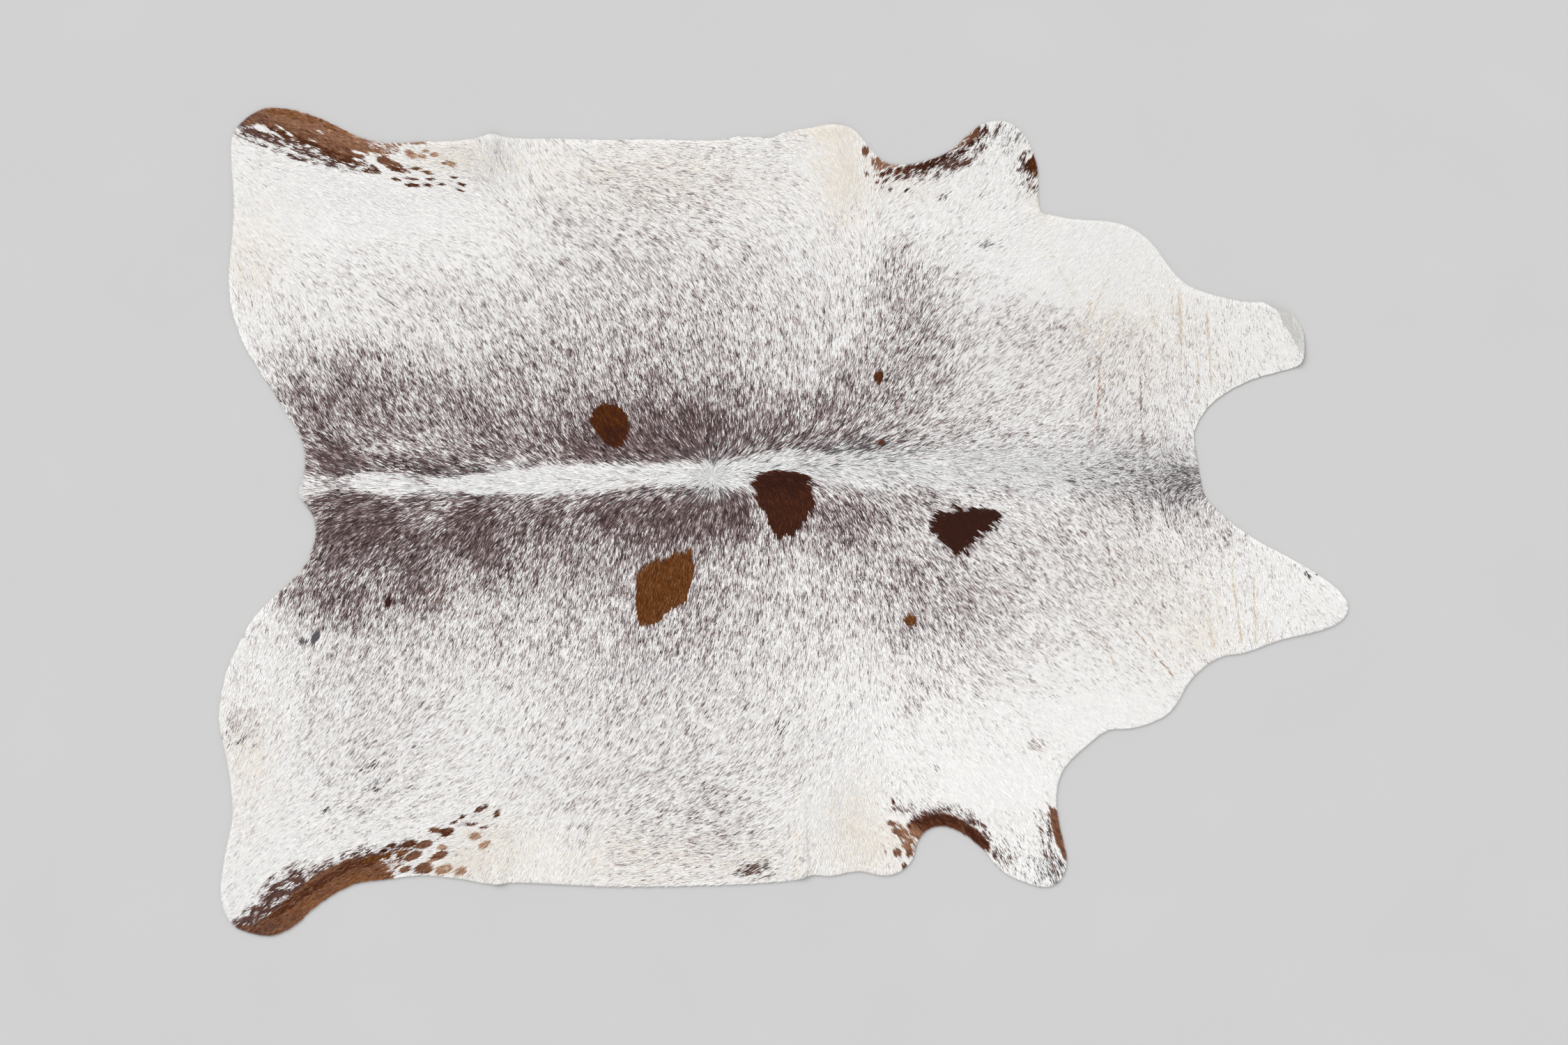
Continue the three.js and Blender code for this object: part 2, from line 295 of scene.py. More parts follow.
# Yellowed short hair, and below it cool, bluish white: x, y, half length, half width, strength
CREAM = [
    (-290, 735, 270, 80, 0.45), (125, 740, 55, 110, 0.90), (90, 830, 60, 30, 0.9),
    (-330, -715, 190, 65, 0.50), (150, -660, 60, 100, 0.75), (-1135, 545, 55, 60, 0.55),
    (-1140, -500, 60, 130, 0.45), (740, 380, 140, 110, 0.40), (880, -245, 80, 60, 0.50),
    (-700, 775, 110, 45, 0.60), (-620, -700, 90, 70, 0.60), (552, 700, 30, 60, 0.70),
    (-1110, 640, 60, 80, 0.25), (780, -150, 120, 110, 0.30), (-60, -720, 160, 45, 0.35),
    (-690, -735, 60, 30, 0.70), (215, -690, 50, 50, 0.80), (240, 720, 70, 40, 0.45),
]
COOL = [
    (-560, 90, 480, 40, 0.50), (-154, 98, 60, 45, 0.80), (200, 125, 330, 55, 0.85),
    (640, 110, 200, 60, 0.70), (850, 90, 100, 70, 0.60), (60, 560, 60, 120, 0.20),
    (-900, 690, 260, 60, 0.25), (130, -620, 60, 130, 0.25), (-620, 760, 60, 60, 0.60),
]
# How softly these patches end, the most hairs that either takes, and how cool the white has
# to be before dark hairs turn cool too
TINT_FADE = 2
CREAM_MOST = 0.95
COOL_MOST = 0.9
COLD_FROM = 0.1

# Tones of the hair: name, colour as 8-bit red, green, blue
TONES = [
    ("white", (249, 248, 246)), ("cool", (227, 227, 227)), ("cream", (243, 235, 224)),
    ("lilac", (206, 196, 195)), ("mauve", (160, 144, 143)), ("dusk", (124, 105, 104)),
    ("roan", (90, 70, 70)), ("soot", (58, 43, 44)), ("slate", (98, 96, 100)),
    ("pewter", (158, 157, 160)), ("chestnut", (56, 27, 18)), ("liver", (66, 31, 16)),
    ("bay", (92, 49, 27)), ("rust", (82, 40, 12)), ("tan", (108, 62, 22)),
    ("sorrel", (142, 94, 58)), ("umber", (124, 85, 64)), ("camel", (152, 108, 82)),
    ("fawn", (178, 136, 108)), ("maroon", (98, 70, 64)), ("straw", (222, 207, 184)),
    ("ash", (216, 215, 212)),
]
TONE = {name: index for index, (name, _) in enumerate(TONES)}

# The darker and the lighter hairs within a marking of each tone, and which draws they take
KIN = {
    "chestnut": ("chestnut", "liver"), "liver": ("chestnut", "bay"), "bay": ("liver", "umber"),
    "rust": ("liver", "tan"), "tan": ("rust", "sorrel"), "sorrel": ("bay", "camel"),
    "umber": ("bay", "camel"), "camel": ("umber", "fawn"), "fawn": ("camel", "straw"),
    "maroon": ("soot", "umber"),
}
KIN_DARKER = 0.20
KIN_LIGHTER = 0.84

# The roan mix from its palest hairs to its darkest: tone, tone where the coat is cool, and
# which share of the hairs are at least so dark, as a multiple and a power of the dark share
MIX = [
    ("lilac", "ash", 1.10, 0.72), ("mauve", "pewter", 1.06, 1.05), ("dusk", "slate", 1.02, 1.40),
    ("roan", "slate", 0.66, 1.5), ("soot", "slate", 0.28, 1.9),
]

# Coloured markings, later ones over earlier ones: tone, share of hairs, how far its edge
# strays along the hair, and its outline, which runs on past the edge of the hide
MARKINGS = [
    ("maroon", 0.46, 16, [(-1172, 830), (-1130, 834), (-1080, 820), (-1030, 800), (-980, 785),
     (-930, 765), (-895, 760), (-897, 740), (-950, 748), (-1010, 762), (-1070, 780), (-1110, 798),
     (-1155, 815)]),
    ("maroon", 0.74, 12, [(-1172, 835), (-1130, 838), (-1080, 824), (-1030, 804), (-980, 789),
     (-930, 769), (-930, 758), (-980, 770), (-1030, 784), (-1080, 802), (-1120, 818),
     (-1155, 826)]),
    ("camel", 1.0, 7, [(-1170, 842), (-1135, 843), (-1105, 846), (-1080, 837), (-1052, 824),
     (-1028, 808), (-1000, 803), (-982, 795), (-968, 780), (-942, 768), (-915, 759), (-900, 764),
     (-893, 778), (-884, 790), (-893, 803), (-880, 830), (-960, 900), (-1100, 940),
     (-1200, 880)]),
    ("fawn", 0.6, 8, [(-1040, 862), (-1000, 852), (-975, 838), (-940, 822), (-905, 806),
     (-888, 800), (-880, 830), (-960, 900), (-1050, 930)]),
    ("sorrel", 0.75, 8, [(-1100, 868), (-1060, 862), (-1010, 852), (-960, 832), (-930, 822),
     (-930, 850), (-980, 880), (-1060, 920), (-1110, 900)]),
    ("umber", 0.7, 9, [(-1110, 858), (-1060, 850), (-1020, 836), (-980, 818), (-930, 798),
     (-900, 786), (-905, 772), (-950, 782), (-1000, 800), (-1060, 826), (-1100, 840)]),
    ("bay", 0.88, 8, [(-1098, 842), (-1060, 834), (-1020, 815), (-980, 800), (-930, 780),
     (-900, 776), (-890, 768), (-915, 755), (-942, 764), (-968, 776), (-1000, 792), (-1040, 804),
     (-1080, 820)]),
    ("maroon", 0.62, 8, [(-1175, 838), (-1130, 840), (-1102, 850), (-1094, 866), (-1110, 900),
     (-1200, 880)]),
    ("camel", 0.76, 7, [(-902, 822), (-880, 812), (-830, 812), (-800, 815), (-762, 812),
     (-764, 804), (-800, 803), (-822, 800), (-824, 786), (-850, 778), (-880, 786), (-895, 796)]),
    ("umber", 0.9, 5, [(-868, 779), (-846, 777), (-816, 763), (-798, 744), (-812, 744),
     (-842, 752), (-862, 766)]),
    ("bay", 0.85, 5, [(-900, 752), (-882, 764), (-866, 758), (-852, 742), (-874, 741),
     (-892, 744)]),
    ("maroon", 0.38, 18, [(-1175, -850), (-1140, -818), (-1112, -776), (-1085, -748),
     (-1040, -722), (-985, -724), (-940, -704), (-896, -690), (-816, -682), (-742, -676),
     (-760, -692), (-815, -705), (-900, -724), (-960, -748), (-1040, -796), (-1100, -846),
     (-1150, -864)]),
    ("maroon", 0.82, 12, [(-1160, -858), (-1126, -818), (-1100, -784), (-1070, -758),
     (-1034, -742), (-1000, -744), (-950, -728), (-900, -708), (-850, -698), (-850, -712),
     (-960, -756), (-1040, -808), (-1100, -850)]),
    ("umber", 1.0, 9, [(-1178, -862), (-1130, -858), (-1099, -840), (-1069, -816), (-1039, -786),
     (-1000, -753), (-965, -737), (-940, -722), (-906, -717), (-876, -714), (-852, -736),
     (-838, -770), (-890, -800), (-960, -850), (-1050, -930), (-1200, -900)]),
    ("umber", 0.74, 12, [(-890, -716), (-846, -704), (-800, -692), (-790, -706), (-806, -724),
     (-826, -744), (-826, -770), (-880, -790)]),
    ("sorrel", 0.7, 8, [(-1060, -830), (-1020, -800), (-980, -776), (-930, -752), (-890, -742),
     (-850, -738), (-830, -756), (-880, -790), (-960, -850)]),
    ("bay", 0.86, 8, [(-1110, -846), (-1080, -828), (-1060, -808), (-1030, -790), (-1004, -768),
     (-960, -746), (-930, -724), (-890, -718), (-850, -714), (-870, -730), (-920, -740),
     (-960, -762), (-1000, -788), (-1040, -816), (-1080, -844)]),
    ("maroon", 0.3, 8, [(-1190, -866), (-1140, -854), (-1104, -846), (-1080, -858), (-1100, -900),
     (-1200, -900)]),
    ("tan", 0.8, 5, [(-900, -716), (-860, -710), (-830, -704), (-812, -702), (-815, -712),
     (-850, -720), (-890, -728)]),
    ("maroon", 0.2, 16, [(205, 752), (250, 742), (300, 748), (350, 766), (400, 790), (440, 826),
     (452, 830), (440, 805), (400, 770), (360, 750), (300, 734), (250, 724), (210, 730)]),
    ("maroon", 0.5, 9, [(250, 748), (300, 750), (345, 768), (388, 786), (398, 772), (380, 754),
     (345, 750), (310, 742), (270, 734), (245, 736)]),
    ("maroon", 0.32, 14, [(262, 726), (300, 722), (350, 736), (396, 752), (412, 776), (440, 800),
     (462, 828), (448, 842), (410, 800), (380, 780), (330, 762), (270, 748)]),
    ("liver", 0.84, 9, [(282, 744), (300, 746), (314, 750), (330, 762), (350, 769), (375, 779),
     (392, 788), (400, 800), (418, 812), (432, 824), (434, 836), (424, 860), (380, 850),
     (330, 810), (290, 800), (270, 760)]),
    ("umber", 0.92, 5, [(350, 788), (380, 799), (400, 810), (418, 824), (410, 860), (350, 840)]),
    ("camel", 0.95, 4, [(184, 777), (200, 778), (208, 770), (228, 769), (245, 766), (248, 758),
     (222, 754), (202, 751), (188, 758)]),
    ("maroon", 0.36, 14, [(492, 770), (498, 730), (516, 700), (570, 690), (570, 740),
     (524, 772)]),
    ("liver", 0.9, 9, [(507, 766), (510, 748), (520, 738), (532, 734), (542, 740), (570, 736),
     (570, 800), (532, 784), (524, 772)]),
    ("rust", 0.95, 5, [(520, 764), (526, 742), (570, 740), (570, 784), (530, 778)]),
    ("maroon", 0.32, 14, [(225, -604), (262, -598), (330, -596), (400, -610), (430, -645),
     (455, -690), (468, -725), (440, -705), (420, -655), (380, -628), (320, -612), (270, -628)]),
    ("maroon", 0.48, 9, [(262, -632), (300, -612), (345, -606), (390, -622), (425, -655),
     (450, -690), (440, -700), (415, -665), (380, -635), (330, -620), (285, -634)]),
    ("bay", 1.0, 7, [(262, -642), (280, -631), (302, -624), (325, -618), (348, -622), (372, -632),
     (396, -646), (414, -660), (428, -674), (442, -690), (430, -720), (400, -705), (380, -695),
     (340, -685), (306, -695), (276, -668)]),
    ("liver", 0.6, 7, [(268, -640), (302, -626), (325, -620), (348, -624), (372, -634),
     (396, -648), (428, -676), (438, -690), (420, -690), (396, -664), (370, -648), (340, -640),
     (300, -642)]),
    ("camel", 0.72, 9, [(236, -652), (246, -646), (258, -652), (270, -645), (284, -650),
     (296, -660), (290, -690), (282, -720), (266, -712), (258, -696), (246, -690), (250, -676),
     (240, -668)]),
    ("umber", 1.0, 6, [(562, -602), (577, -612), (620, -640), (625, -725), (600, -724),
     (592, -706), (580, -686), (572, -660), (566, -634), (570, -622)]),
    ("chestnut", 0.55, 12, [(550, -632), (564, -640), (570, -664), (560, -672), (548, -655)]),
    ("maroon", 0.4, 12, [(535, -615), (560, -620), (575, -690), (602, -740), (590, -780),
     (560, -740), (545, -680)]),
    ("rust", 1.0, 4, [(-414, 216), (-408, 236), (-390, 251), (-368, 254), (-348, 246),
     (-334, 229), (-328, 203), (-331, 183), (-342, 168), (-358, 158), (-378, 166), (-392, 182),
     (-404, 198)]),
    ("liver", 0.7, 12, [(-402, 196), (-378, 200), (-352, 204), (-330, 205), (-331, 183),
     (-342, 168), (-358, 158), (-378, 166), (-392, 182)]),
    ("liver", 1.0, 7, [(-65, 80), (-55, 98), (-34, 106), (-8, 109), (20, 107), (46, 102),
     (60, 94), (64, 70), (62, 36), (55, 3), (43, 0), (37, 9), (39, -6), (31, -22), (15, -31),
     (-5, -36), (-19, -28), (-32, -5), (-41, 20), (-54, 33), (-63, 53)]),
    # Painted sheen: a duller chestnut band over the top of this liver spot
    ("chestnut", 0.75, 10, [(-60, 84), (-34, 102), (20, 102), (58, 90), (58, 62), (-57, 60)]),
    ("tan", 1.0, 6, [(-214, -64), (-199, -58), (-193, -80), (-189, -96), (-193, -124),
     (-204, -153), (-206, -172), (-230, -184), (-253, -196), (-265, -214), (-285, -225),
     (-310, -216), (-313, -187), (-316, -158), (-313, -108), (-293, -94), (-268, -82),
     (-236, -72)]),
    ("chestnut", 1.0, 11, [(318, 20), (340, 13), (360, 22), (377, 33), (403, 33), (420, 31),
     (446, 29), (467, 7), (454, -6), (428, -30), (405, -45), (391, -56), (387, -71), (370, -71),
     (350, -56), (333, -41), (316, -24), (318, 2)]),
]

# Small round or long markings: x, y, length, width, tilt, tone. Their edges stray a little
BLOB_STRAY = 2
BLOBS = [
    (203, 310, 31, 21, 80, "rust"), (209, 168, 17, 13, 90, "bay"), (269, -211, 28, 25, 0, "tan"),
    (-842, -172, 28, 13, 70, "chestnut"), (-997, -247, 36, 17, 65, "slate"),
    (-1024, -255, 20, 14, 0, "slate"), (-1074, 840, 20, 4, -35, "white"),
    (-1053, 826, 20, 5, -35, "white"), (-1073, 821, 16, 4, -30, "white"),
    (-1004, 812, 16, 4, -20, "white"), (-988, 831, 14, 4, -40, "white"),
    (-1012, 799, 20, 6, 0, "white"), (-903, 786, 30, 6, -15, "white"),
    (-882, 775, 24, 7, -30, "white"), (-908, 771, 22, 5, -10, "white"),
    (-795, 783, 32, 14, -35, "fawn"), (-772, 779, 24, 10, -5, "fawn"),
    (-764, 790, 18, 8, 0, "fawn"), (-744, 782, 18, 11, -10, "fawn"),
    (-711, 762, 27, 12, -10, "fawn"), (-726, 764, 10, 5, -10, "umber"),
    (-783, 753, 22, 6, 0, "umber"), (-760, 744, 22, 8, -15, "umber"),
    (-826, 750, 22, 10, 0, "bay"), (-826, 730, 22, 6, -10, "bay"), (-794, 731, 26, 6, -5, "bay"),
    (-752, 730, 24, 6, -5, "bay"), (-790, 717, 34, 9, -5, "bay"), (-760, 718, 20, 8, -5, "bay"),
    (-730, 719, 15, 6, 0, "bay"), (-700, 733, 13, 6, 0, "bay"), (-686, 718, 17, 7, -15, "bay"),
    (-690, 706, 16, 6, -20, "bay"), (-790, -712, 40, 17, 22, "umber"),
    (-768, -688, 42, 16, 15, "umber"), (-798, -686, 30, 14, 12, "bay"),
    (-742, -657, 30, 13, 0, "umber"), (-720, -662, 34, 18, 22, "bay"),
    (-728, -694, 26, 12, 10, "fawn"), (-735, -711, 38, 17, 22, "umber"),
    (-750, -722, 20, 8, 25, "fawn"), (-767, -739, 42, 24, 12, "umber"),
    (-725, -741, 38, 20, 12, "fawn"), (-688, -745, 26, 17, 15, "fawn"),
    (-806, -740, 26, 14, 15, "umber"), (-658, -670, 28, 16, -5, "fawn"),
    (-639, -689, 28, 15, 35, "fawn"), (-651, -614, 20, 11, 25, "bay"),
    (-612, -622, 20, 12, 60, "bay"), (-636, -608, 14, 10, 40, "maroon"),
    (-687, -630, 17, 7, 25, "bay"), (-703, -641, 14, 6, 25, "bay"), (-668, -645, 30, 6, 0, "bay"),
    (-640, -652, 22, 6, 10, "bay"), (-835, -690, 20, 9, 15, "bay"),
    (-850, -700, 18, 7, 20, "chestnut"), (174, 791, 21, 15, 90, "umber"),
    (212, 741, 16, 8, 40, "bay"), (226, 746, 24, 9, 40, "bay"), (243, 747, 26, 10, 45, "bay"),
    (264, 752, 24, 15, 60, "bay"), (218, 728, 18, 7, 40, "maroon"),
    (243, 733, 20, 7, 45, "maroon"), (200, 726, 12, 6, 40, "bay"),
    (262, 734, 20, 8, 45, "maroon"), (176, 741, 12, 8, 0, "bay"), (226, 706, 13, 7, 35, "soot"),
    (261, 706, 11, 6, 35, "soot"), (209, 712, 8, 4, 30, "bay"), (200, 740, 16, 5, 20, "umber"),
    (524, 790, 8, 6, 0, "chestnut"), (232, -644, 20, 12, 10, "umber"),
    (241, -661, 20, 16, 0, "umber"), (243, -705, 20, 17, 0, "umber"),
    (268, -705, 22, 15, 70, "umber"), (258, -735, 15, 9, 20, "bay"),
    (233, -597, 14, 8, -60, "bay"), (236, -612, 12, 6, -60, "bay"),
    (218, -704, 7, 4, -60, "umber"), (1112, -111, 10, 7, 30, "soot"),
    (1120, -118, 10, 6, 80, "soot"), (1138, -113, 6, 5, 0, "umber"),
]

# Faint smudges of dark hair: x, y, length, width, tilt, share, tone. How softly they end
SMUDGE_FADE = 1.5
SMUDGES = [
    (-733, -148, 46, 34, 50, 0.75, "maroon"), (-1170, -468, 34, 50, 60, 0.22, "roan"),
    (539, -481, 30, 22, 0, 0.35, "umber"), (325, -527, 9, 9, 0, 0.7, "slate"),
    (618, -358, 26, 12, -40, 0.3, "maroon"), (435, 590, 36, 14, 0, 0.40, "slate"),
    (-880, -520, 40, 18, 30, 0.50, "roan"), (-868, -558, 50, 26, 30, 0.45, "roan"),
    (-978, -614, 14, 7, 40, 0.8, "soot"), (230, 548, 34, 30, 50, 0.50, "roan"),
    (340, 690, 24, 14, 50, 0.45, "maroon"), (-4, -442, 26, 34, 40, 0.40, "roan"),
    (110, 395, 26, 18, 30, 0.50, "roan"), (-20, 112, 60, 12, 10, 0.30, "slate"),
    (480, 830, 70, 50, 0, 0.26, "roan"), (560, -745, 80, 50, 0, 0.40, "slate"),
    (480, -715, 50, 60, 0, 0.34, "maroon"), (810, 88, 16, 34, 0, 0.36, "soot"),
    (618, 90, 26, 14, 0, 0.5, "slate"), (-822, 119, 80, 12, -4, 0.80, "soot"),
    (-982, 137, 44, 26, 0, 0.90, "roan"), (-66, -742, 60, 22, 10, 0.75, "maroon"),
    (-280, -322, 260, 24, -3, 0.22, "pewter"), (-40, -738, 26, 22, -50, 0.60, "soot"),
]

# Painted shade along the growth wrinkles of the neck and a fold of the belly: from x, y to x, y,
# half width, share, tone. How ragged they are
WRINKLE_BLUR = 0.6
WRINKLE_SHADE = [
    (842, 486, 846, 400, 4.4, 0.55, "straw"), (846, 400, 845, 330, 2.6, 0.50, "straw"),
    (877, 440, 884, 258, 1.9, 0.45, "straw"), (900, 446, 911, 290, 2.4, 0.60, "straw"),
    (917, 426, 929, 322, 1.6, 0.30, "straw"), (948, 372, 951, 293, 1.8, 0.35, "straw"),
    (718, 461, 668, 372, 6.5, 0.26, "straw"), (654, 470, 634, 387, 6.0, 0.26, "straw"),
    (778, 486, 790, 420, 5.0, 0.24, "straw"), (824, 500, 829, 440, 3.0, 0.30, "straw"),
    (672, 350, 673, 268, 1.9, 0.42, "fawn"), (673, 268, 661, 194, 2.0, 0.50, "fawn"),
    (760, 310, 764, 160, 1.9, 0.46, "umber"), (690, 520, 640, 400, 2.5, 0.36, "straw"),
    (620, 480, 560, 590, 2.3, 0.33, "straw"), (676, 11, 690, -48, 1.5, 0.40, "umber"),
    (690, -48, 706, -140, 1.8, 0.56, "umber"), (738, 62, 757, -32, 1.9, 0.56, "roan"),
    (800, 58, 820, -14, 1.8, 0.64, "roan"), (862, 60, 889, -78, 1.7, 0.34, "ash"),
    (889, -78, 897, -190, 1.7, 0.36, "straw"), (919, -150, 930, -210, 1.7, 0.42, "straw"),
    (956, -40, 957, -133, 1.6, 0.34, "straw"), (957, -133, 976, -258, 2.2, 0.62, "straw"),
    (1000, -116, 1005, -258, 2.2, 0.62, "straw"), (904, -205, 918, -276, 3.4, 0.50, "straw"),
    (1027, -205, 1030, -262, 1.6, 0.36, "straw"), (748, -232, 778, -266, 1.7, 0.40, "fawn"),
    (778, -266, 830, -330, 1.9, 0.40, "fawn"), (664, -231, 712, -310, 2.6, 0.34, "straw"),
    # The last two rows: painted shade along a fold of the belly
    (1006, 452, 1020, 400, 1.8, 0.30, "ash"), (28, -752, 20, -560, 2.5, 0.35, "straw"),
    (54, -745, 46, -580, 2.2, 0.30, "ash"),
]

# The turned-down corner of the neck, on the outer side of this line, and the share of its hairs
# given painted shade, a grey
CORNER = ((1043, 457), (1109, 347))
CORNER_MARGIN = 10
CORNER_SHADE_COVER = 0.95

# Length of the hair on the body, along the backbone up to the shoulders, and within patches:
# x, y, half length, half width, length
BODY_HAIR = 11.5
SPINE_HAIR = 18.0
SPINE_HAIR_WIDTH = 45
SPINE_HAIR_END = 500
PATCH_FADE = 4
HAIR_LENGTHS = [
    (-900, 830, 320, 60, 11), (-980, -830, 300, 90, 11), (330, 800, 250, 90, 10),
    (400, -690, 260, 90, 11), (860, 150, 370, 700, 8), (500, 100, 160, 420, 10),
    (-154, 93, 46, 36, 10), (130, 760, 70, 110, 9), (-650, 780, 90, 60, 9),
    (-620, -710, 90, 70, 9), (130, -660, 90, 100, 10), (-255, -140, 60, 75, 11),
    (-368, 210, 40, 42, 10), (0, 45, 60, 60, 13),
]


class Raster:
    """Values at the points of a square grid, read in between along straight lines."""

    def __init__(self, values, corner, step):
        self.values, self.corner, self.step = values, corner, step

    def at(self, x, y):
        rows, columns = self.values.shape
        u = np.clip((x - self.corner[0]) / self.step, 0, columns - 1.001)
        v = np.clip((y - self.corner[1]) / self.step, 0, rows - 1.001)
        i, j = u.astype(int), v.astype(int)
        u, v = u - i, v - j
        near = self.values[j, i] * (1 - u) + self.values[j, i + 1] * u
        far = self.values[j + 1, i] * (1 - u) + self.values[j + 1, i + 1] * u
        return near * (1 - v) + far * v


def grid_over(box, step):
    """The corner, and the x and y of each point, of a square grid over the box."""
    x = np.arange(box[0] - FIELD_MARGIN, box[2] + FIELD_MARGIN, step)
    y = np.arange(box[1] - FIELD_MARGIN, box[3] + FIELD_MARGIN, step)
    return (x[0], y[0]), np.meshgrid(x, y)


def closed(points):
    """Each side of a closed outline, as two corners."""
    points = np.asarray(points, float)
    return zip(points, np.roll(points, -1, axis=0))


def is_inside(x, y, outline):
    inside = np.zeros(x.shape, bool)
    for (ax, ay), (bx, by) in closed(outline):
        if ay != by:
            inside ^= ((ay > y) != (by > y)) & (x < ax + (y - ay) * (bx - ax) / (by - ay))
    return inside


def square_distance(x, y, ax, ay, bx, by):
    """The square of each point's distance from a stretch of line."""
    dx, dy = bx - ax, by - ay
    t = np.clip(((x - ax) * dx + (y - ay) * dy) / (dx * dx + dy * dy), 0, 1)
    return (x - ax - t * dx) ** 2 + (y - ay - t * dy) ** 2


def depth_inside(x, y, outline):
    """How far inside an outline each point lies, negative outside."""
    nearest = np.full(x.shape, np.inf)
    for start, end in closed(outline):
        nearest = np.minimum(nearest, square_distance(x, y, *start, *end))
    return np.where(is_inside(x, y, outline), 1, -1) * np.sqrt(nearest)


def welded(node):
    """The node's mesh with its doubled corners joined."""
    mesh = bmesh.new()
    mesh.from_mesh(node.data)
    bmesh.ops.remove_doubles(mesh, verts=mesh.verts, dist=WELD)
    mesh.normal_update()
    return mesh


def rim_loop(mesh):
    """The foot of the cut edge of the hide, as one loop of points, anticlockwise."""
    links = {}
    for edge in mesh.edges:
        tilts = sorted(face.normal.z for face in edge.link_faces)
        if len(tilts) == 2 and tilts[0] < FACING_DOWN and abs(tilts[1]) < FACING_OUT:
            first, second = edge.verts
            links.setdefault(first, []).append(second)
            links.setdefault(second, []).append(first)
    current = min(links, key=lambda vert: vert.index)
    loop, seen = [current], {current}
    while True:
        ahead = [vert for vert in links[current] if vert not in seen]
        if not ahead:
            break
        current = ahead[0]
        loop.append(current)
        seen.add(current)
    points = np.array([vert.co[:2] for vert in loop]) / MM
    x, y = points.T
    turning = np.sum(x * np.roll(y, -1) - y * np.roll(x, -1))
    return points if turning > 0 else points[::-1]


def surface_heights(tree, x, y, direction):
    """Height of the first surface met upwards or downwards, nothing where there is none."""
    heights = np.full(x.size, np.nan)
    aim = Vector((0, 0, direction))
    for k, (px, py) in enumerate(zip(x.ravel() * MM, y.ravel() * MM)):
        hit = tree.ray_cast(Vector((px, py, -direction * RAY_START)), aim)[0]
        if hit:
            heights[k] = hit.z / MM
    return heights.reshape(x.shape)


def filled_outwards(values, rounds, beyond):
    """The values with each empty point next to known ones given their mean, round by round."""
    for _ in range(rounds):
        known = np.isfinite(values)
        padded = np.pad(np.where(known, values, 0), 1)
        weight = np.pad(known.astype(float), 1)
        total, count = np.zeros(values.shape), np.zeros(values.shape)
        for row in range(3):
            for column in range(3):
                window = np.s_[row:row + values.shape[0], column:column + values.shape[1]]
                total += padded[window]
                count += weight[window]
        near = (count > 0) & ~known
        values = np.where(near, total / np.maximum(count, 1), values)
    return np.where(np.isfinite(values), values, beyond)


def spine_y(x):
    return np.interp(x, *zip(*SPINE))


def lay_beside(x, y, offset):
    """The lay of the hair away from the backbone, each side blended from its own rows."""
    total = np.zeros((2, *x.shape))
    for px, py, degrees in LAY:
        same_side = (py > spine_y(px)) == (offset > 0)
        weight = same_side / ((x - px) ** 2 + (y - py) ** 2 + LAY_BLUR ** 2) ** 2
        angle = math.radians(degrees)
        total[0] += weight * math.cos(angle)
        total[1] += weight * math.sin(angle)
    return total / np.hypot(*total)


def hair_direction(x, y):
    """Unit vectors from root to tip: the lay of each side, parted along the backbone."""
    offset = y - spine_y(x)
    side = lay_beside(x, y, offset)
    forward = np.tanh((x - WHORL[0]) / WHORL_TURN) * np.tanh((CREST_X - x) / CREST_TURN)
    parting = np.exp(-((offset / PARTING) ** 2))
    away_x, away_y = x - WHORL[0], y - WHORL[1]
    away = np.hypot(away_x, away_y) + 1e-6
    star = np.exp(-((away / WHORL_SIZE) ** 2))
    dx = (1 - parting) * side[0] + parting * forward
    dy = (1 - parting) * side[1] + PARTING_SPLAY * parting * side[1]
    dx = (1 - star) * dx + star * away_x / away
    dy = (1 - star) * dy + star * away_y / away
    length = np.hypot(dx, dy) + 1e-9
    return dx / length, dy / length


def specks(rng, shape, size):
    """Smooth random values whose bumps are about size grid steps wide."""
    rows, columns = int(shape[0] / size) + 3, int(shape[1] / size) + 3
    coarse = Raster(rng.standard_normal((rows, columns)), (0, 0), size)
    row, column = np.mgrid[0:shape[0], 0:shape[1]]
    return coarse.at(column.astype(float), row.astype(float))


def combed(rng, box, direction, step, size, reach):
    """Random specks drawn out along the hair, as a raster of mean 0 and spread 1."""
    corner, (x, y) = grid_over(box, step)
    dx, dy = (part.at(x, y) for part in direction)
    noise = Raster(specks(rng, x.shape, size), corner, step)
    total = np.zeros(x.shape)
    for distance in np.arange(-reach, reach + 0.1, step):
        total += noise.at(x + dx * distance, y + dy * distance)
    return Raster((total - total.mean()) / total.std(), corner, step)


def ranked(values):
    """Each value's place among them all, from 0 to 1."""
    ranks = np.empty(values.size)
    ranks[np.argsort(values, kind="stable")] = np.arange(values.size) / values.size
    return ranks


def ellipse_distance(x, y, cx, cy, half_length, half_width, tilt=0):
    """Distance from an ellipse's middle, with 1 on the ellipse itself."""
    angle = math.radians(tilt)
    along = (x - cx) * math.cos(angle) + (y - cy) * math.sin(angle)
    across = (y - cy) * math.cos(angle) - (x - cx) * math.sin(angle)
    return np.hypot(along / half_length, across / half_width)


def left_bare(rows, x, y, fade):
    """What share of each point a set of soft patches leaves uncovered."""
    bare = np.ones(x.shape)
    for *patch, strength in rows:
        bare *= 1 - strength * np.exp(-(ellipse_distance(x, y, *patch) ** fade))
    return bare


def roan_share(x, y):
    """The share of dark hairs at each point, thinned out along the white stripe."""
    bare = (1 - ROAN_EVERYWHERE) * left_bare(ROAN, x, y, ROAN_FADE)
    along, middle, half, clear = zip(*STRIPE)
    reach = np.abs(y - np.interp(x, along, middle)) / np.interp(x, along, half)
    cleared = np.interp(x, along, clear) * np.clip((STRIPE_END - reach) / STRIPE_FADE, 0, 1)
    return np.clip(1 - bare ** ROAN_DEPTH, 0, ROAN_MOST) * (1 - cleared)


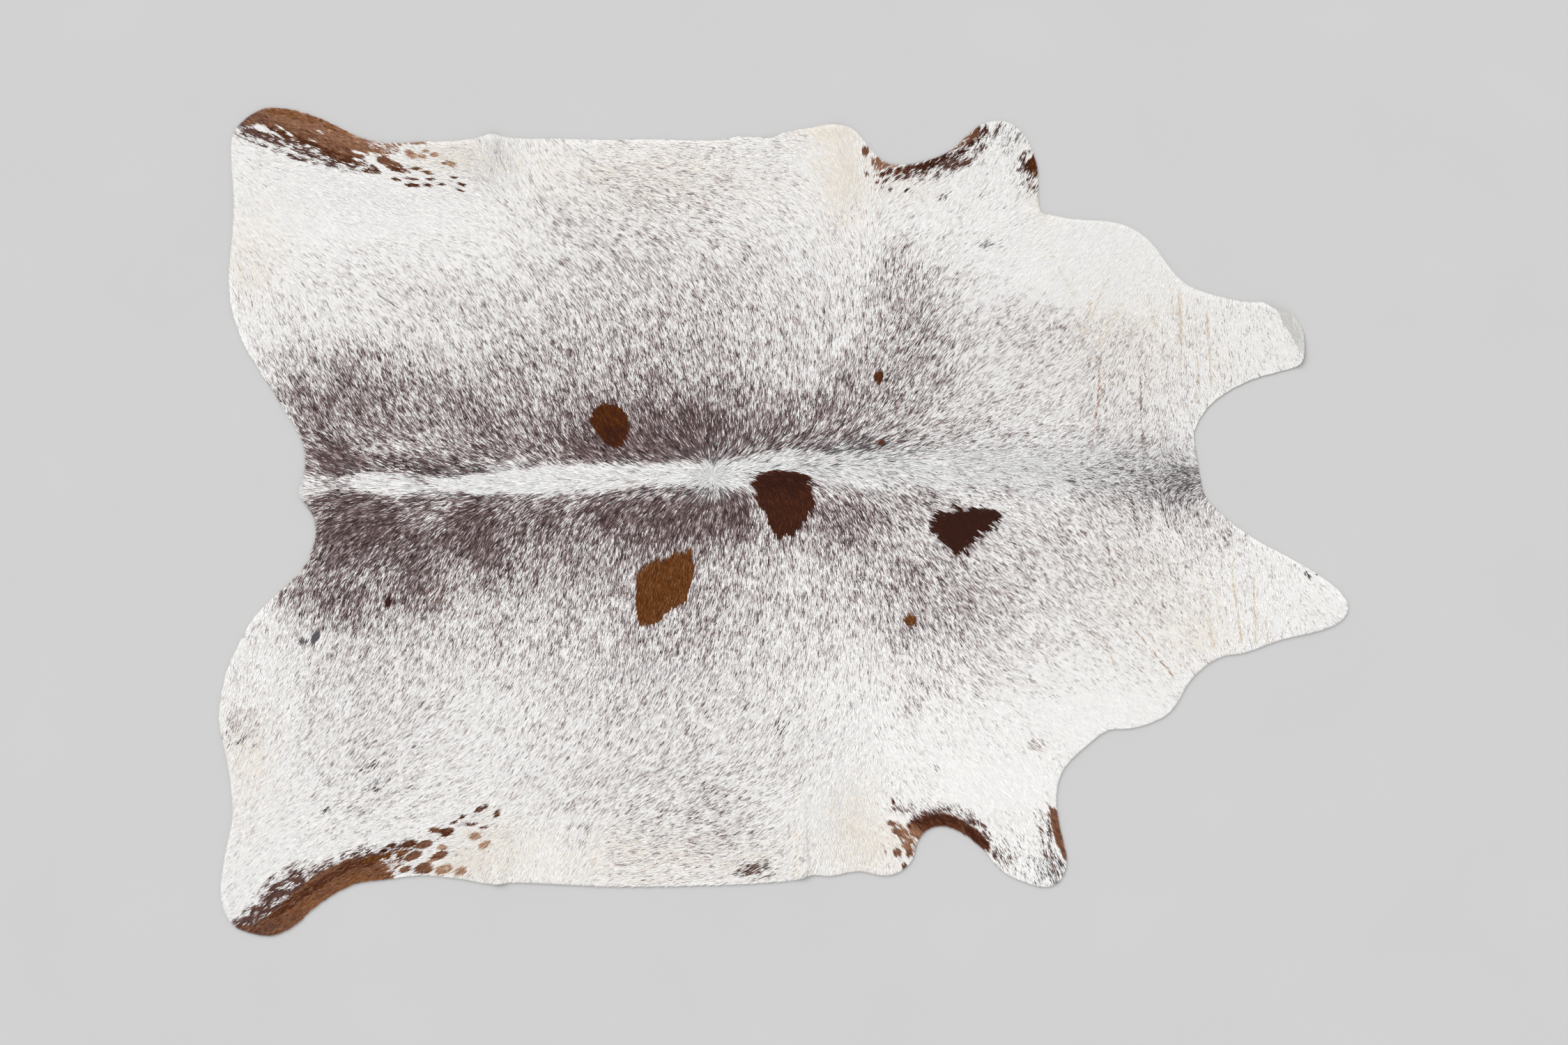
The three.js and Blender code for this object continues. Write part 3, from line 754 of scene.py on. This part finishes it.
class Coat:
    """One row of values for each hair strand, root by root."""

    def __init__(self, rng, box, edge, direction):
        rows = np.arange(box[1], box[3], ROOT_SPACING * ROW_SHARE)
        columns = np.arange(box[0], box[2], ROOT_SPACING)
        x, y = np.meshgrid(columns, rows)
        x = x + (np.arange(len(rows)) % 2)[:, None] * ROOT_SPACING / 2
        x = (x + rng.uniform(-ROOT_STRAY, ROOT_STRAY, x.shape) * ROOT_SPACING).ravel()
        y = (y + rng.uniform(-ROOT_STRAY, ROOT_STRAY, y.shape) * ROOT_SPACING).ravel()
        kept = edge.at(x, y) > ROOTS_WITHIN
        self.x, self.y = x[kept], y[kept]
        self.edge = edge.at(self.x, self.y)
        self.dx, self.dy = (part.at(self.x, self.y) for part in direction)
        self.length = strand_lengths(rng, self, edge)
        self.seen_x = self.x + SEEN_AT * self.length * self.dx
        self.seen_y = self.y + SEEN_AT * self.length * self.dy
        self.tone = np.zeros(self.x.size, int)
        self.shade = rng.uniform(0, 1, self.x.size)
        self.girth = np.ones(self.x.size)
        self.lock = combed(rng, box, direction, *LOCKS).at(self.x, self.y)
        own = rng.standard_normal(self.x.size)
        self.tuft = ranked(TUFT_WEIGHTS[0] * self.lock + TUFT_WEIGHTS[1] * own)

    def near(self, cx, cy, reach):
        """The strands that are seen within a square."""
        return np.flatnonzero((np.abs(self.seen_x - cx) < reach)
                              & (np.abs(self.seen_y - cy) < reach))

    def strayed(self, rng, rows, stray):
        """Where these strands are seen, each moved a little to and fro along itself."""
        shift = stray * (STRAY_WEIGHT * self.lock[rows] + rng.uniform(-0.5, 0.5, rows.size))
        x = self.seen_x[rows] + shift * self.dx[rows]
        return x, self.seen_y[rows] + shift * self.dy[rows]


def paint_ground(rng, coat, streak):
    """The roan ground: dark hairs among white, cool and yellowed ones."""
    x, y = coat.seen_x, coat.seen_y
    share = roan_share(x, y)
    draw = rng.uniform(0, 1, x.size)
    cream, cool = (1 - left_bare(rows, x, y, TINT_FADE) for rows in (CREAM, COOL))
    coat.tone[:] = TONE["white"]
    coat.tone[draw < COOL_MOST * cool] = TONE["cool"]
    coat.tone[draw > 1 - CREAM_MOST * cream] = TONE["cream"]
    cold = rng.uniform(COLD_FROM, 1.0, x.size) < cool
    for tone, cool_tone, multiple, power in MIX:
        reached = streak < multiple * share ** power
        coat.tone[reached] = TONE[tone]
        coat.tone[reached & cold] = TONE[cool_tone]
    dark = streak < share ** DARK_POWER
    coat.girth[dark] = DARK_GIRTH + (1 - DARK_GIRTH) * share[dark]


def with_kin(rng, tone, count):
    """The tone for each of so many hairs of a marking, some darker and some lighter."""
    darker, lighter = (TONE[name] for name in KIN.get(tone, (tone, tone)))
    draw = rng.uniform(0, 1, count)
    return np.where(draw < KIN_DARKER, darker, np.where(draw > KIN_LIGHTER, lighter, TONE[tone]))


def paint_markings(rng, coat):
    for tone, share, stray, outline in MARKINGS:
        x, y = np.array(outline, float).T
        cx, cy = (x.min() + x.max()) / 2, (y.min() + y.max()) / 2
        rows = coat.near(cx, cy, max(np.ptp(x), np.ptp(y)) / 2 + 2 * stray)
        inside = is_inside(*coat.strayed(rng, rows, stray), outline)
        hit = rows[inside & (coat.tuft[rows] < share)]
        coat.tone[hit] = with_kin(rng, tone, hit.size)


def paint_blobs(rng, coat):
    for cx, cy, length, width, tilt, tone in BLOBS:
        rows = coat.near(cx, cy, length)
        x, y = coat.strayed(rng, rows, BLOB_STRAY)
        hit = rows[ellipse_distance(x, y, cx, cy, length / 2, width / 2, tilt) < 1]
        coat.tone[hit] = with_kin(rng, tone, hit.size)


def paint_smudges(rng, coat, streak):
    for cx, cy, length, width, tilt, share, tone in SMUDGES:
        rows = coat.near(cx, cy, length + width)
        x, y = coat.seen_x[rows], coat.seen_y[rows]
        reach = ellipse_distance(x, y, cx, cy, length / 2, width / 2, tilt)
        hit = rows[streak[rows] < share * np.exp(-(reach ** 2) / SMUDGE_FADE)]
        coat.tone[hit] = with_kin(rng, tone, hit.size)


def beyond_corner(x, y):
    (ax, ay), (bx, by) = CORNER
    outer = (bx - ax) * (y - ay) - (by - ay) * (x - ax) > 0
    return outer & (x > ax - CORNER_MARGIN) & (y > by - CORNER_MARGIN)


def paint_neck_shade(rng, coat):
    """Painted shade: straw and darker lines along the growth wrinkles and a fold of the belly,
    and grey on the turned-down corner.
    """
    x, y = coat.seen_x, coat.seen_y
    draw = rng.uniform(0, 1, x.size)
    # Painted shade in straw and darker tones along each wrinkle
    for *stretch, half, share, tone in WRINKLE_SHADE:
        ragged = half + rng.normal(0, WRINKLE_BLUR, x.size)
        near = np.sqrt(square_distance(x, y, *stretch)) < ragged
        coat.tone[near & (draw < share)] = TONE[tone]
    # Painted shade: the turned-down corner greyed where it slopes away from the light
    coat.tone[beyond_corner(x, y) & (draw < CORNER_SHADE_COVER)] = TONE["ash"]


def strand_lengths(rng, coat, edge):
    """Length of each strand, short enough that its tip barely passes the edge."""
    offset = (coat.y - spine_y(coat.x)) / SPINE_HAIR_WIDTH
    spine = np.exp(-(offset ** 2)) * (coat.x < SPINE_HAIR_END)
    length = BODY_HAIR + (SPINE_HAIR - BODY_HAIR) * spine
    for *patch, zone in HAIR_LENGTHS:
        share = np.exp(-(ellipse_distance(coat.x, coat.y, *patch) ** PATCH_FADE))
        length = length * (1 - share) + zone * share
    length *= rng.uniform(*LENGTH_VARIES, coat.x.size)
    tip = edge.at(coat.x + coat.dx * length, coat.y + coat.dy * length)
    over = tip < -OVERHANG
    part = (coat.edge + OVERHANG) / np.maximum(coat.edge - tip, 1e-6)
    return np.where(over, length * np.clip(part, SHORTEST, 1), length)


def strand_corners(rng, coat, skin, top):
    """Left foot, right foot and tip of each strand, a thin leaf that leans off the skin."""
    length = coat.length
    turn = np.radians(rng.normal(0, TURN, coat.x.size))
    dx = coat.dx * np.cos(turn) - coat.dy * np.sin(turn)
    dy = coat.dx * np.sin(turn) + coat.dy * np.cos(turn)
    width = np.clip(length * WIDTH_SHARE, *WIDTH_LIMITS)
    half = 0.5 * width * rng.uniform(*WIDTH_VARIES, coat.x.size) * coat.girth
    depth = np.clip(coat.edge / EDGE_REACH, EDGE_SHARE, 1)
    foot = FOOT_LIFT + LAYERS * rng.uniform(0, 1, coat.x.size) * depth
    lift = foot + rng.uniform(*TIP_LIFT, coat.x.size) * depth
    roll = rng.normal(0, ROLL, coat.x.size) * half
    places = [(0.0, half, foot, roll), (0.0, -half, foot, -roll), (length, 0.0, lift, 0.0)]
    corners = []
    for along, across, height, rise in places:
        x = coat.x + along * dx - across * dy
        y = coat.y + along * dy + across * dx
        base = skin.at(x, y)
        room = np.maximum(top.at(x, y) - base, LEAST_ROOM)
        corners.append(np.stack([x, y, base + height * room + rise], axis=1))
    return np.stack(corners, axis=1)


def mesh_object(name, corners, faces, material):
    """A mesh of triangles, with its corners in millimetres, linked to the scene."""
    mesh = bpy.data.meshes.new(name)
    mesh.vertices.add(len(corners))
    mesh.vertices.foreach_set("co", np.asarray(corners, np.float32).ravel() * MM)
    mesh.loops.add(faces.size)
    mesh.loops.foreach_set("vertex_index", faces.astype(np.int32).ravel())
    mesh.polygons.add(len(faces))
    mesh.polygons.foreach_set("loop_start", np.arange(0, faces.size, 3, dtype=np.int32))
    mesh.update(calc_edges=True)
    mesh.materials.append(material)
    piece = bpy.data.objects.new(name, mesh)
    bpy.context.scene.collection.objects.link(piece)
    return piece


def coat_piece(name, corners, tone, shade, material):
    """One mesh of strands, with its map: tone and shade across, root to tip upwards."""
    feet = np.arange(len(corners))[:, None] * 3
    faces = feet + [1, 2, 0]
    piece = mesh_object(name, corners.reshape(-1, 3), faces, material)
    middle = (tone + COLUMN_MARGIN + (1 - 2 * COLUMN_MARGIN) * shade) / len(TONES)
    sway = COLUMN_SWAY / len(TONES)
    across = np.stack([middle - sway, middle + sway, middle], axis=1)
    foot, tip = MAP_ENDS
    upwards = np.broadcast_to([foot, foot, tip], across.shape)
    uv = np.stack([across, upwards], axis=2).reshape(-1, 2)[faces.ravel()]
    layer = piece.data.uv_layers.new(name=BAKE_MAP)
    layer.data.foreach_set("uv", uv.astype(np.float32).ravel())
    return piece


def linear(colour):
    """An 8-bit colour as linear light, with full opacity."""
    share = [value / 255 for value in colour]
    return (*(c / 12.92 if c <= 0.04045 else ((c + 0.055) / 1.055) ** 2.4 for c in share), 1)


class Nodes:
    """A material's node tree, built step by step."""

    def __init__(self, name):
        self.material = bpy.data.materials.new(name)
        self.material.use_nodes = True
        self.tree = self.material.node_tree
        self.shader = self.tree.nodes["Principled BSDF"]

    def add(self, kind, **settings):
        node = self.tree.nodes.new(kind)
        for key, value in settings.items():
            setattr(node, key, value)
        return node

    def link(self, source, target):
        self.tree.links.new(source, target)

    def math(self, operation, first, second):
        node = self.add("ShaderNodeMath", operation=operation)
        self.link(first, node.inputs[0])
        node.inputs[1].default_value = second
        return node.outputs[0]

    def spread(self, value, source, onto):
        """One range of the value spread over another."""
        node = self.add("ShaderNodeMapRange")
        self.link(value, node.inputs["Value"])
        sockets = ("From Min", "From Max", "To Min", "To Max")
        for socket, number in zip(sockets, (*source, *onto)):
            node.inputs[socket].default_value = number
        return node.outputs["Result"]

    def ramp(self, value, stops, interpolation="LINEAR"):
        node = self.add("ShaderNodeValToRGB")
        node.color_ramp.interpolation = interpolation
        elements = node.color_ramp.elements
        while len(elements) < len(stops):
            elements.new(1)
        for element, (position, colour) in zip(elements, stops):
            element.position = position
            element.color = colour
        self.link(value, node.inputs["Fac"])
        return node.outputs["Color"]

    def mix(self, share, first, second, blend="MIX"):
        node = self.add("ShaderNodeMix", data_type="RGBA", blend_type=blend)
        for value, target in ((share, 0), (first, 6), (second, 7)):
            if hasattr(value, "is_linked"):
                self.link(value, node.inputs[target])
            else:
                node.inputs[target].default_value = value
        return node.outputs[2]

    def noise(self, scale, detail):
        node = self.add("ShaderNodeTexNoise")
        node.inputs["Scale"].default_value = scale
        node.inputs["Detail"].default_value = detail
        self.link(self.add("ShaderNodeTexCoord").outputs["Object"], node.inputs["Vector"])
        return node.outputs["Fac"]

    def bump(self, height, strength, distance):
        node = self.add("ShaderNodeBump")
        node.inputs["Strength"].default_value = strength
        node.inputs["Distance"].default_value = distance
        self.link(height, node.inputs["Height"])
        self.link(node.outputs["Normal"], self.shader.inputs["Normal"])


def grey(value):
    return (value, value, value, 1)


def greys(stops):
    return [(place, grey(value)) for place, value in stops]


def colours(stops):
    return [(place, linear(colour)) for place, colour in stops]


def coat_material():
    """Hair: tone from the map's columns, random tone and painted shade by strand, painted shade
    at the root.
    """
    nodes = Nodes("cowhide_hair")
    place = nodes.add("ShaderNodeSeparateXYZ")
    nodes.link(nodes.add("ShaderNodeUVMap", uv_map=BAKE_MAP).outputs["UV"], place.inputs[0])
    across, upwards = place.outputs["X"], place.outputs["Y"]
    stops = [(k / len(TONES), colour) for k, (_, colour) in enumerate(TONES)]
    tone = nodes.ramp(across, colours(stops), "CONSTANT")
    strand = nodes.math("FRACT", nodes.math("MULTIPLY", across, len(TONES)), 0)
    # Each strand's grey: random tone and painted shade between strands
    light = nodes.ramp(strand, greys(STRAND_TONE_AND_SHADE))
    # Painted shade: darker towards the root of each strand
    tip = nodes.ramp(upwards, greys(ROOT_SHADE))
    colour = nodes.mix(1.0, nodes.mix(1.0, tone, light, "MULTIPLY"), tip, "MULTIPLY")
    rough = nodes.spread(strand, (COLUMN_MARGIN, 1 - COLUMN_MARGIN), HAIR_ROUGHNESS)
    nodes.link(colour, nodes.shader.inputs["Base Color"])
    nodes.link(rough, nodes.shader.inputs["Roughness"])
    nodes.shader.inputs["Specular IOR Level"].default_value = HAIR_GLOSS
    return nodes.material


def leather_material():
    """Grain side in the coat's own colours, flesh side a pale napped suede."""
    nodes = Nodes("cowhide_leather")
    coat = nodes.add("ShaderNodeAttribute", attribute_name="coat_tone").outputs["Color"]
    fine, broad = nodes.noise(*PORES), nodes.noise(*SUEDE_CLOUDS)
    grain = nodes.mix(1.0, coat, nodes.ramp(fine, greys(PORE_LIGHT)), "MULTIPLY")
    suede = nodes.ramp(broad, colours(SUEDE))
    nap = nodes.ramp(nodes.noise(*NAP), greys(NAP_LIGHT))
    flesh = nodes.mix(1.0, suede, nap, "MULTIPLY")
    facing = nodes.add("ShaderNodeSeparateXYZ")
    nodes.link(nodes.add("ShaderNodeNewGeometry").outputs["Normal"], facing.inputs[0])
    upper = nodes.spread(facing.outputs["Z"], GRAIN_RANGE, (0, 1))
    rough = nodes.spread(fine, NOISE_RANGE, LEATHER_ROUGHNESS)
    nodes.link(nodes.mix(upper, flesh, grain), nodes.shader.inputs["Base Color"])
    nodes.link(rough, nodes.shader.inputs["Roughness"])
    nodes.shader.inputs["Specular IOR Level"].default_value = LEATHER_GLOSS
    nodes.bump(fine, *PORE_BUMP)
    return nodes.material


def floor_material():
    """A plain pale floor, almost even."""
    nodes = Nodes("studio_floor")
    tint = nodes.ramp(nodes.noise(*FLOOR_CLOUDS), greys(FLOOR_LIGHT))
    rough = nodes.spread(nodes.noise(*FLOOR_GRAIN), NOISE_RANGE, FLOOR_ROUGHNESS)
    nodes.link(tint, nodes.shader.inputs["Base Color"])
    nodes.link(rough, nodes.shader.inputs["Roughness"])
    nodes.shader.inputs["Specular IOR Level"].default_value = FLOOR_GLOSS
    return nodes.material


def evenly_spaced(loop, step):
    """A closed loop's points at even steps along it."""
    ends = np.roll(loop, -1, axis=0)
    lengths = np.hypot(*(ends - loop).T)
    travelled = np.concatenate([[0], np.cumsum(lengths)])
    places = np.linspace(0, travelled[-1], int(travelled[-1] / step), endpoint=False)
    whole = np.vstack([loop, loop[:1]])
    return np.stack([np.interp(places, travelled, whole[:, axis]) for axis in (0, 1)], axis=1)


def moved_in(loop, distance):
    """An anticlockwise loop moved inwards by the given distance at each point."""
    tangent = np.roll(loop, -1, axis=0) - np.roll(loop, 1, axis=0)
    tangent /= np.hypot(*tangent.T)[:, None]
    inward = np.stack([-tangent[:, 1], tangent[:, 0]], axis=1)
    return loop + inward * np.reshape(distance, (-1, 1))


def skin_plan(rng, loop, edge, box):
    """The sheet seen from above: its points, its triangles, and how many points are its rim."""
    rim = evenly_spaced(loop, RIM_STEP)
    rim = moved_in(rim, RIM_INSET + rng.uniform(-RIM_WOBBLE, RIM_WOBBLE, len(rim)))
    _, (x, y) = grid_over(box, SKIN_STEP)
    x = x + (np.arange(x.shape[0]) % 2)[:, None] * SKIN_STEP / 2
    deep = edge.at(x, y) > RIM_INSET + SKIN_CLEARANCE * SKIN_STEP
    points = np.vstack([rim, np.stack([x[deep], y[deep]], axis=1)])
    sides = [(k, (k + 1) % len(rim)) for k in range(len(rim))]
    flat = [Vector(point) for point in points * MM]
    made = geometry.delaunay_2d_cdt(flat, sides, [], 1, SAME_POINT)
    return np.array([tuple(point) for point in made[0]]) / MM, np.array(made[2]), len(rim)


def skin_sheet(rng, loop, edge, under, box, material):
    """The leather: the plan on the underside, again at its thickness above, and a rim wall."""
    points, triangles, rim_count = skin_plan(rng, loop, edge, box)
    x, y = points.T
    low = under.at(x, y)
    count = len(points)
    corners = np.vstack([np.column_stack([x, y, low + LEATHER]), np.column_stack([x, y, low])])
    rim = np.arange(rim_count)
    ahead = (rim + 1) % rim_count
    walls = [np.stack([rim + count, ahead + count, ahead], axis=1),
             np.stack([rim + count, ahead, rim], axis=1)]
    faces = np.vstack([triangles, triangles[:, ::-1] + count, *walls])
    sheet = mesh_object("hide_leather", corners, faces, material)
    sheet.data.polygons.foreach_set("use_smooth", np.ones(len(faces), bool))
    paint_skin(sheet, np.tile(x, 2), np.tile(y, 2))
    return sheet


def paint_skin(sheet, x, y):
    """The colour of the skin and of the shortest hair on it, which shows between strands."""
    share = roan_share(x, y)[:, None]
    pale, dark = np.array(linear(SKIN_PALE)), np.array(linear(SKIN_DARK))
    colour = pale * (1 - share) + dark * share
    for tone, cover, _, outline in MARKINGS:
        inside = is_inside(x, y, outline)
        marked = np.array(linear(TONES[TONE[tone]][1]))
        colour[inside] = colour[inside] * (1 - cover) + marked * cover
    layer = sheet.data.color_attributes.new("coat_tone", "FLOAT_COLOR", "POINT")
    layer.data.foreach_set("color", colour.astype(np.float32).ravel())


def make_stage():
    """The floor, the light of the room and one soft lamp."""
    half = FLOOR_SIZE / 2
    corners = np.array([(-half, -half, 0), (half, -half, 0), (half, half, 0), (-half, half, 0)])
    corners[:, 2] = -FLOOR_DROP
    floor = mesh_object("floor", corners / MM, np.array([(0, 1, 2), (0, 2, 3)]), floor_material())
    world = bpy.context.scene.world or bpy.data.worlds.new("studio")
    bpy.context.scene.world = world
    world.use_nodes = True
    world.node_tree.nodes["Background"].inputs["Color"].default_value = grey(1)
    world.node_tree.nodes["Background"].inputs["Strength"].default_value = ROOM_LIGHT
    softbox = bpy.data.lights.new("softbox", "SUN")
    softbox.energy = LAMP_LIGHT
    softbox.angle = math.radians(LAMP_WIDTH)
    lamp = bpy.data.objects.new("softbox", softbox)
    lamp.rotation_euler = (*map(math.radians, LAMP_LEAN), 0)
    bpy.context.scene.collection.objects.link(lamp)


def make_camera():
    """Straight above the hide, as far off as shows the whole frame's width."""
    camera = bpy.data.cameras.new("camera")
    camera.lens, camera.sensor_width = LENS, SENSOR
    camera.clip_end = FAR_END
    eye = bpy.data.objects.new("camera", camera)
    eye.location = (*VIEW_CENTRE, FRAME_WIDTH * LENS / SENSOR)
    bpy.context.scene.collection.objects.link(eye)
    bpy.context.scene.camera = eye
    bpy.context.scene.view_settings.view_transform = "Standard"


def make_coat(rng, box, edge, direction, skin, top):
    """All strands, split across the length of the hide into pieces of equal count."""
    coat = Coat(rng, box, edge, direction)
    fine = combed(rng, box, direction, *FINE_STREAKS).at(coat.x, coat.y)
    broad = combed(rng, box, direction, *LOCKS).at(coat.x, coat.y)
    own = rng.standard_normal(coat.x.size)
    weights = STREAK_WEIGHTS
    streak = ranked(weights[0] * fine + weights[1] * broad + weights[2] * own)
    paint_ground(rng, coat, streak)
    paint_markings(rng, coat)
    paint_blobs(rng, coat)
    paint_smudges(rng, coat, streak)
    paint_neck_shade(rng, coat)
    corners = strand_corners(rng, coat, skin, top)
    order = np.argsort(coat.x, kind="stable")
    material = coat_material()
    pieces = []
    for name, rows in zip(PIECES, np.array_split(order, len(PIECES))):
        piece = coat_piece(name, corners[rows], coat.tone[rows], coat.shade[rows], material)
        pieces.append(piece)
    return pieces


def make_rug():
    """The leather sheet and the coat on it, laid over the solid's own folds."""
    rng = np.random.default_rng(SEED)
    hide = welded(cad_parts["hide"])
    tree = bvhtree.BVHTree.FromBMesh(hide)
    loop = rim_loop(hide)
    box = (*loop.min(axis=0), *loop.max(axis=0))
    corner, (x, y) = grid_over(box, FIELD_STEP)
    edge = Raster(depth_inside(x, y, loop), corner, FIELD_STEP)
    low = filled_outwards(surface_heights(tree, x, y, 1), CARRIED_STEPS, 0)
    high = filled_outwards(surface_heights(tree, x, y, -1), CARRIED_STEPS, COAT_LIMIT)
    under, top = Raster(low, corner, FIELD_STEP), Raster(high, corner, FIELD_STEP)
    skin = Raster(low + LEATHER, corner, FIELD_STEP)
    direction = [Raster(part, corner, FIELD_STEP) for part in hair_direction(x, y)]
    sheet = skin_sheet(rng, loop, edge, under, box, leather_material())
    pieces = make_coat(rng, box, edge, direction, skin, top)
    area = sum(face.calc_area() for face in hide.faces if face.normal.z < FACING_DOWN)
    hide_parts("hide")
    for piece in (sheet, *pieces):
        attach(piece, "root")


make_rug()
make_stage()
make_camera()
